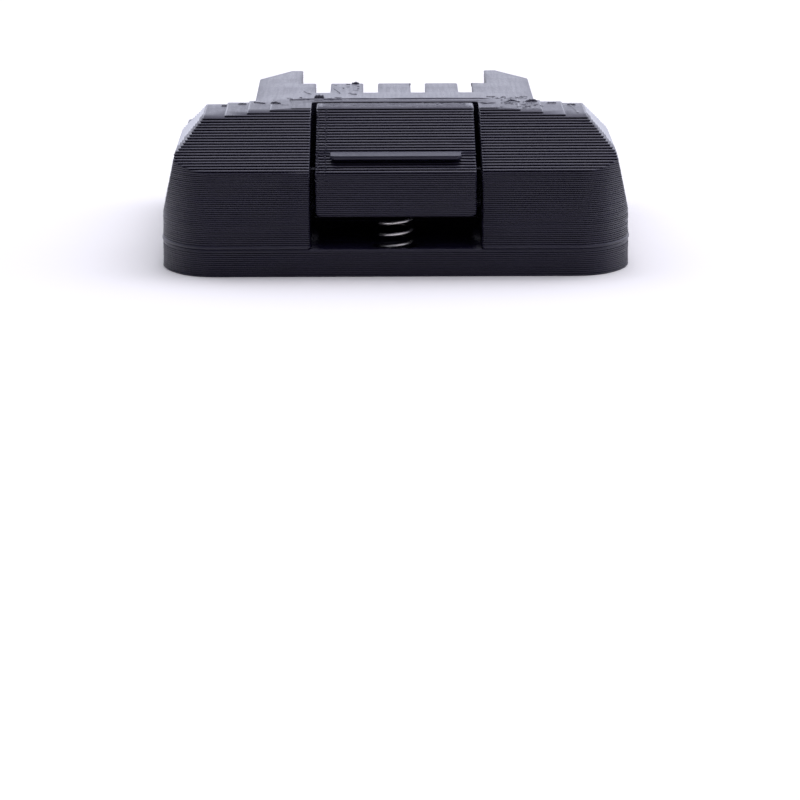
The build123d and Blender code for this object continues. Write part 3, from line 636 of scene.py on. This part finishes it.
# Beads on the tops: what the nozzle left there, as low ridges, curled edges and crumbs.
# Each has its rest height, ridge height, width, extra height in the middle, and the places it passes over.
beads = {
    "steps": 26, "sides": 8, "uneven": 0.3, "taperPower": 8, "smoothAngle": 60, "seed": 21,
    "wideLimits": (0.3, 2.0), "highLimits": (0.3, 1.6), "highest": 23.1,
    "ridges": [
        (22.95, 0.13, 0.5, 0.0, [
            (-16.0, -8.75), (-9.0, -8.65), (0.0, -8.75), (8.0, -8.65), (15.2, -8.75)]),
        (22.5, 0.42, 0.9, 0.12, [(-12.8, -4.2), (-12.0, -4.1), (-11.2, -4.3)]),
        (22.95, 0.15, 0.9, 0.0, [(-12.7, -9.6), (-12.1, -10.2), (-11.3, -9.8)]),
        (22.95, 0.09, 0.3, 0.0, [(-16.7, -9.5), (-14.9, -9.9), (-13.4, -9.6)]),
        (22.95, 0.10, 0.3, 0.0, [(-11.4, -9.4), (-10.1, -9.9), (-8.3, -9.6)]),
        (22.5, 0.16, 0.5, 0.0, [(-22.3, -8.7), (-21.6, -9.4), (-20.4, -10.6)]),
        (22.8, 0.16, 0.6, 0.10, [(-19.5, -12.4), (-18.8, -11.9), (-18.0, -12.8)]),
        (22.8, 0.06, 0.3, 0.0, [(-18.0, -14.2), (-17.2, -14.6), (-16.6, -14.4)]),
        (22.95, 0.09, 0.4, 0.06, [(13.1, -13.4), (14.2, -14.6), (15.9, -14.0)]),
        (22.8, 0.10, 0.4, 0.14, [(17.2, -12.6), (18.2, -9.8), (19.3, -10.9)]),
        (22.5, 0.12, 0.5, 0.22, [(20.6, -9.2), (21.4, -8.7), (22.6, -8.9)]),
        (22.5, 0.10, 0.3, 0.0, [(-9.8, 7.6), (-9.3, 4.9), (-8.7, 1.6)]),
        (22.5, 0.07, 0.3, 0.0, [(-14.6, 4.6), (-14.1, 2.2), (-13.3, 0.4)]),
        (22.5, 0.20, 0.6, 0.06, [(-6.9, 13.3), (-6.3, 13.4), (-5.7, 13.2)]),
        (21.9, 0.11, 0.4, 0.0, [(-25.4, -8.8), (-25.1, -12.0), (-24.9, -16.9)]),
        (21.9, 0.12, 0.4, 0.0, [(27.7, -8.8), (28.1, -13.0), (28.6, -18.6)]),
        (21.9, 0.14, 0.6, 0.05, [(-27.4, -8.8), (-26.6, -8.7), (-25.8, -8.8)]),
        (22.2, 0.12, 0.6, 0.05, [(-24.8, -8.8), (-24.0, -8.7), (-23.4, -8.8)]),
        (21.9, 0.14, 0.6, 0.05, [(27.2, -8.8), (27.9, -8.7), (28.6, -8.8)]),
        (22.2, 0.10, 0.5, 0.05, [(24.0, -8.8), (24.9, -8.7), (25.6, -8.8)]),
    ],
    # crumbs are strewn over a rectangle: rest height, low corner, high corner, how many
    "crumbs": [
        (22.8, (16.6, -18.0), (19.5, -9.0), 22), (22.5, (20.0, -18.0), (23.0, -9.0), 20),
        (22.5, (15.0, -5.8), (21.5, -3.0), 26), (22.5, (-17.0, -6.0), (-8.0, -3.4), 18),
        (22.5, (-9.8, 0.0), (-5.5, 12.5), 12), (4.2, (-12.0, -39.2), (12.0, -38.7), 44)],
    "crumbHeight": (0.03, 0.08), "crumbLength": (0.4, 1.2),
    "crumbWidth": 0.25, "crumbBend": (0.06, -0.06)}


def ridge(draw, rest, high, wide, arch, places):
    # half an ellipse over the path, tapered to both ends, higher in the middle by the arch
    t = np.linspace(0, 1, beads["steps"])
    knots = np.array(places)
    reach = np.r_[0, np.cumsum(np.linalg.norm(np.diff(knots, axis=0), axis=1))]
    path = np.stack([np.interp(t, reach / reach[-1], knots[:, axis]) for axis in range(2)], axis=1)
    middle = 2 * t - 1
    taper = np.sqrt(np.maximum(1 - middle**beads["taperPower"], 0.001))
    rough = 1 + np.convolve(draw.normal(0, beads["uneven"], len(t) + 2), np.ones(3) / 3, "valid")
    ahead = np.gradient(path, axis=0)
    ahead /= np.linalg.norm(ahead, axis=1)[:, None]
    angle = np.arange(beads["sides"]) * 2 * math.pi / beads["sides"]
    halfWidth = wide / 2 * taper * np.sqrt(np.clip(rough, *beads["wideLimits"]))
    height = (high + arch * (1 - middle**2)) * taper * np.clip(rough, *beads["highLimits"])
    side = np.cos(angle)[None] * halfWidth[:, None]
    up = np.sin(angle)[None] * height[:, None]
    x = path[:, :1] - ahead[:, 1:] * side
    y = path[:, 1:] + ahead[:, :1] * side
    return np.stack([x, y, rest + up], axis=2).reshape(-1, 3)


def tubeFaces(steps, sides):
    # four-cornered faces between rings of points that follow each other, and a cap at each end
    step, around = np.meshgrid(np.arange(steps - 1), np.arange(sides), indexing="ij")
    here = (step * sides + around).ravel()
    onward = (step * sides + (around + 1) % sides).ravel()
    faces = np.c_[here, onward, onward + sides, here + sides].tolist()
    faces.append(list(range(sides))[::-1])
    faces.append([(steps - 1) * sides + k for k in range(sides)])
    return faces


def makeBeads(name, body, ridges, crumbs, highest):
    # the ridges as given, and crumbs as short bent ridges of drawn place, heading, length and height
    draw = np.random.default_rng(beads["seed"])
    points = [ridge(draw, *one) for one in ridges]
    for rest, low, high, count in crumbs:
        for number in range(count):
            start = draw.uniform(low, high)
            heading = draw.uniform(0, math.pi)
            way = np.array([math.cos(heading), math.sin(heading)])
            reach = draw.uniform(*beads["crumbLength"]) / 2 * way
            places = [start - reach, start + beads["crumbBend"], start + reach]
            height = draw.uniform(*beads["crumbHeight"])
            points.append(ridge(draw, rest, height, beads["crumbWidth"], 0.0, places))
    count = beads["steps"] * beads["sides"]
    one = tubeFaces(beads["steps"], beads["sides"])
    faces = [[corner + k * count for corner in face] for k in range(len(points)) for face in one]
    points = np.concatenate(points)
    points[:, 2] = np.minimum(points[:, 2], highest)
    makePiece(name, points, faces, "printed_black", body, beads["smoothAngle"])
    print(name, "has", len(faces), "faces")


makeBeads("housing_beads", "body", beads["ridges"], beads["crumbs"], beads["highest"])

# The latch's top strip is raised in lines across, with crumbs on it
strip = {
    "rest": 22.9, "high": 0.05, "wide": 0.45, "half": 11.6, "first": -18.0, "pitch": 0.85, "lines": 6,
    "crumbs": [(22.9, (-11.5, -18.3), (11.5, -13.2), 40)], "highest": 23.05}
# Two blobs stand on each step of its slope, beside the seam. The steps' edges lie on the slope's line,
# which passes slopeEdge at the height slopeFoot and goes back by slopeRun as it rises by slopeRise.
blobs = {
    "count": 23, "firstTop": 16.0, "across": (-0.55, 0.6), "drift": 0.12, "driftTurn": 2.4,
    "high": 0.16, "uneven": 0.06, "unevenTurn": 1.7, "wide": 0.3, "halfLength": 0.17, "behind": 0.2,
    "slopeEdge": -39.85, "slopeFoot": 15.85, "slopeRun": 17.5, "slopeRise": 6}


def stripLines():
    # straight ridges from side to side, a pitch apart
    depths = [strip["first"] + k * strip["pitch"] for k in range(strip["lines"])]
    return [(strip["rest"], strip["high"], strip["wide"], 0.0, [(-strip["half"], y), (strip["half"], y)])
            for y in depths]


def stepBlobs():
    # short ridges just behind each step's edge, whose places and heights follow two sine waves
    lines = []
    for k in range(blobs["count"]):
        top = blobs["firstTop"] + latch["layer"] * k
        edge = blobs["slopeEdge"] + (top - blobs["slopeFoot"]) * blobs["slopeRun"] / blobs["slopeRise"]
        y = edge + blobs["behind"]
        for across in blobs["across"]:
            x = latch["seam"] + across + blobs["drift"] * math.sin(blobs["driftTurn"] * k)
            high = blobs["high"] + blobs["uneven"] * math.sin(blobs["unevenTurn"] * k + across)
            ends = [(x - blobs["halfLength"], y), (x + blobs["halfLength"], y)]
            lines.append((top, high, blobs["wide"], 0.0, ends))
    return lines


makeBeads("latch_beads", "latch", stripLines() + stepBlobs(), strip["crumbs"], strip["highest"])


# Latch spring: an even helix of round wire between two short upright legs.
# Keep is the share of its height that is left when the latch is pressed down.
spring = {
    "wire": 0.25, "radius": 2.45, "axis": (0.0, -35.8), "low": 3.0, "high": 15.2,
    "coilLow": 4.05, "coilHigh": 14.15, "turns": 5.75,
    "startAngle": 180.0, "legAngle": 30.0, "legRise": 0.35,
    "sides": 16, "steps": 460, "smoothAngle": 60, "keep": 0.672, "anchor": (0, -0.0358, 0.003)}


def tube(path, radius, sides):
    # a circle carried along the path, kept square to it, with a flat cap at each end
    ahead = np.gradient(path, axis=0)
    ahead /= np.linalg.norm(ahead, axis=1)[:, None]
    outwards = path * (1, 1, 0) - np.array([*spring["axis"], 0])
    side = outwards - ahead * (outwards * ahead).sum(1)[:, None]
    side /= np.linalg.norm(side, axis=1)[:, None]
    rise = np.cross(ahead, side)
    angle = np.arange(sides) * 2 * math.pi / sides
    ring = np.cos(angle)[:, None] * side[:, None] + np.sin(angle)[:, None] * rise[:, None]
    points = (path[:, None] + ring * radius).reshape(-1, 3)
    return points, tubeFaces(len(path), sides)


def springPath(make):
    # the height follows the turn evenly, and eases upright by its square over the legs' angle at each end
    t = np.linspace(0, 1, make["steps"])
    lead = math.radians(make["legAngle"])
    span = make["turns"] * 2 * math.pi
    angle = math.radians(make["startAngle"]) - lead + t * (span + 2 * lead)
    turned = angle - math.radians(make["startAngle"])
    height = make["coilLow"] + (make["coilHigh"] - make["coilLow"]) * np.clip(turned / span, 0, 1)
    under = np.clip(-turned / lead, 0, 1)
    over = np.clip((turned - span) / lead, 0, 1)
    height = height - under**2 * (make["coilLow"] - make["low"] - make["legRise"])
    height = height + over**2 * (make["high"] - make["coilHigh"] - make["legRise"])
    x = make["axis"][0] + make["radius"] * np.cos(angle)
    y = make["axis"][1] + make["radius"] * np.sin(angle)
    path = np.c_[x, y, height]
    foot = path[0] * (1, 1, 0) + (0, 0, make["low"])
    head = path[-1] * (1, 1, 0) + (0, 0, make["high"])
    return np.r_[[foot], path, [head]]


coilPoints, coilFaces = tube(springPath(spring), spring["wire"], spring["sides"])
coil = makePiece("spring_coil", coilPoints, coilFaces, "spring_steel", "body", spring["smoothAngle"])
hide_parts("latch_spring")
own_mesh(coil)
print("spring made")

# The remaining nodes keep their shapes and take the finish of their slot
for nodeName, node in frame["nodes"].items():
    for place in node.material_slots:
        slotName = place.material.name.split(".")[0]
        place.material = finishes[slotName]
print("nodes finished")

# Floor, sky, lights and camera, in metres. Each pair is where a part of the sky fades in, by the x, y or z
# of the unit direction looked in.
studio = {
    "floorHalf": 3.0, "floorColour": colour(0.35, 0.35, 0.36), "floorSeen": colour(1.0, 0.985, 0.92),
    "frontLight": 0.105, "rightLight": 0.42, "leftLight": 0.12, "upperLight": 0.25, "backLight": 1.45,
    "leftLoss": 0.6, "behind": (-0.30, 0.30), "above": (0.25, 0.8), "beside": (0.35, 0.95),
    "lossBeside": (0.4, 0.8), "skyTint": (0.96, 0.98, 1.15), "lampTint": (1.0, 0.95, 1.12),
    "lens": 178.2, "sensor": 36, "clip": 0.01, "eye": (-0.0030, -0.6308, 0.1065),
    "down": 12.0, "right": 0.34, "roll": 0.17}
lamps = {
    "top_light": {"place": (0.15, 0.1, 0.9), "aim": (0, 0, 0), "size": 0.8, "power": 2.7},
    "front_light": {"place": (0.35, -0.8, 0.55), "aim": (0, 0, 0.01), "size": 0.6, "power": 0.6}}


def makeFloor():
    # a square, white to the rays that show it and grey to the light that it throws back
    half = studio["floorHalf"]
    mesh = bpy.data.meshes.new("floor")
    places = [(-half, -half, 0), (half, -half, 0), (half, half, 0), (-half, half, 0)]
    mesh.from_pydata(places, [], [(0, 1, 2, 3)])
    floor = bpy.data.objects.new("floor", mesh)
    bpy.context.scene.collection.objects.link(floor)
    material = bpy.data.materials.new("pale_floor")
    material.use_nodes = True
    material.node_tree.nodes.clear()
    flow = Flow(material.node_tree)
    rays = ("Is Camera Ray", "Is Glossy Ray", "Is Transmission Ray")
    seen = sum(flow.make("ShaderNodeLightPath", out=kind) for kind in rays).clamped()
    shade = seen.blend(studio["floorColour"], studio["floorSeen"])
    surface = flow.make("ShaderNodeBsdfDiffuse", None, {"Color": shade})
    flow.make("ShaderNodeOutputMaterial", None, {"Surface": surface})
    mesh.materials.append(material)


def makeWorld():
    # a sky brighter behind the object, on the right and above, and plain white to the camera
    world = bpy.data.worlds.new("studio")
    bpy.context.scene.world = world
    world.use_nodes = True
    world.node_tree.nodes.clear()
    flow = Flow(world.node_tree)
    way = flow.make("ShaderNodeTexCoord", out="Generated")
    x, y, z = (way.along(axis) for axis in range(3))
    right = x.ramp(*studio["beside"]) * studio["rightLight"]
    left = (x * -1).ramp(*studio["beside"]) * studio["leftLight"]
    above = z.ramp(*studio["above"]) * studio["upperLight"]
    front = studio["frontLight"] + right + left + above
    back = studio["backLight"] * (1 - (x * -1).ramp(*studio["lossBeside"]) * studio["leftLoss"])
    bright = front + y.ramp(*studio["behind"]) * (back - front)
    tinted = flow.make("ShaderNodeVectorMath", {"operation": "SCALE"}, {
        0: studio["skyTint"], "Scale": bright})
    sky = flow.make("ShaderNodeBackground", None, {"Color": tinted, "Strength": 1.0})
    white = flow.make("ShaderNodeBackground", None, {"Color": colour(1, 1, 1), "Strength": 1.0})
    seen = flow.make("ShaderNodeLightPath", out="Is Camera Ray")
    final = flow.make("ShaderNodeMixShader", None, {0: seen, 1: sky, 2: white})
    flow.make("ShaderNodeOutputWorld", None, {"Surface": final})


def makeLamp(name, make):
    # a square lamp whose face is turned to its aim
    lamp = bpy.data.lights.new(name, "AREA")
    lamp.size = make["size"]
    lamp.energy = make["power"]
    lamp.color = studio["lampTint"]
    holder = bpy.data.objects.new(name, lamp)
    holder.location = make["place"]
    toAim = Vector(make["aim"]) - Vector(make["place"])
    holder.rotation_euler = toAim.to_track_quat("-Z", "Y").to_euler()
    bpy.context.scene.collection.objects.link(holder)


def makeCamera():
    # level, then turned down and right, and last rolled about its own axis
    view = bpy.data.cameras.new("camera")
    view.lens = studio["lens"]
    view.sensor_width = studio["sensor"]
    view.clip_start = studio["clip"]
    camera = bpy.data.objects.new("camera", view)
    camera.location = studio["eye"]
    aim = Euler((math.radians(90 - studio["down"]), 0, math.radians(-studio["right"]))).to_matrix()
    camera.rotation_euler = (aim @ Matrix.Rotation(math.radians(-studio["roll"]), 3, "Z")).to_euler()
    bpy.context.scene.collection.objects.link(camera)
    bpy.context.scene.camera = camera


makeFloor()
makeWorld()
for name, make in lamps.items():
    makeLamp(name, make)
makeCamera()
bpy.context.scene.view_settings.view_transform = "Standard"
print("studio made")
